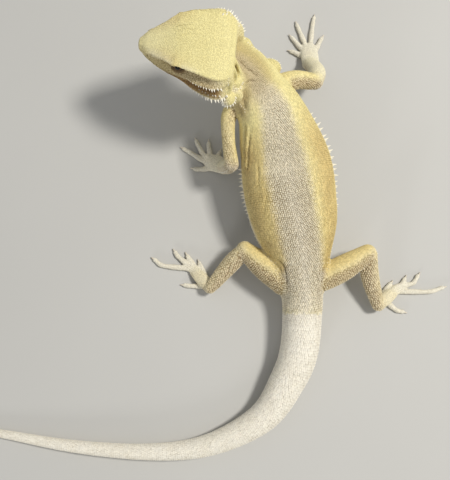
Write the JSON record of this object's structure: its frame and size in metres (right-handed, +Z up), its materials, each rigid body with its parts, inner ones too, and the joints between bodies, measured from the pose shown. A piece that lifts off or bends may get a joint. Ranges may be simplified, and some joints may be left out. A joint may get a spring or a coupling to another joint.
{
  "type": "bearded dragon model",
  "caption": "Life-size bearded dragon standing still, head raised and turned aside, body resting on its rear belly and curved tail.",
  "frame": {"origin": "on the floor, under the middle of the model's bounding box", "axes": "+Z up from the floor, +Y along the trunk towards the shoulders, -X the way the head points"},
  "size_m": [0.3566, 0.297, 0.088],
  "materials": {
    "hide": "scaly, matte with a faint sheen, golden yellow flanks, grey lilac back, cream tail",
    "eye": "wet gloss",
    "ear": "thin matte membrane",
    "claw": "horn, slightly glossy"
  },
  "bodies": {
    "root": {"head": "hide", "lower_jaw": "hide", "beard": "hide", "neck": "hide", "chest": "hide", "abdomen": "hide", "pelvis": "hide", "tail_1": "hide", "tail_2": "hide", "tail_3": "hide", "tail_4": "hide", "upper_arm_left": "hide", "forearm_left": "hide", "hand_left": "hide", "thigh_left": "hide", "shin_left": "hide", "foot_left": "hide", "upper_arm_right": "hide", "forearm_right": "hide", "hand_right": "hide", "thigh_right": "hide", "shin_right": "hide", "foot_right": "hide", "eye_left": "eye", "eye_right": "eye", "ear_left": "ear", "ear_right": "ear", "claw_hand_left_1": "claw", "claw_hand_left_2": "claw", "claw_hand_left_3": "claw", "claw_hand_left_4": "claw", "claw_hand_left_5": "claw", "claw_hand_right_1": "claw", "claw_hand_right_2": "claw", "claw_hand_right_3": "claw", "claw_hand_right_4": "claw", "claw_hand_right_5": "claw", "claw_foot_left_1": "claw", "claw_foot_left_2": "claw", "claw_foot_left_3": "claw", "claw_foot_left_4": "claw", "claw_foot_left_5": "claw", "claw_foot_right_1": "claw", "claw_foot_right_2": "claw", "claw_foot_right_3": "claw", "claw_foot_right_4": "claw", "claw_foot_right_5": "claw"}
  },
  "joints": []
}
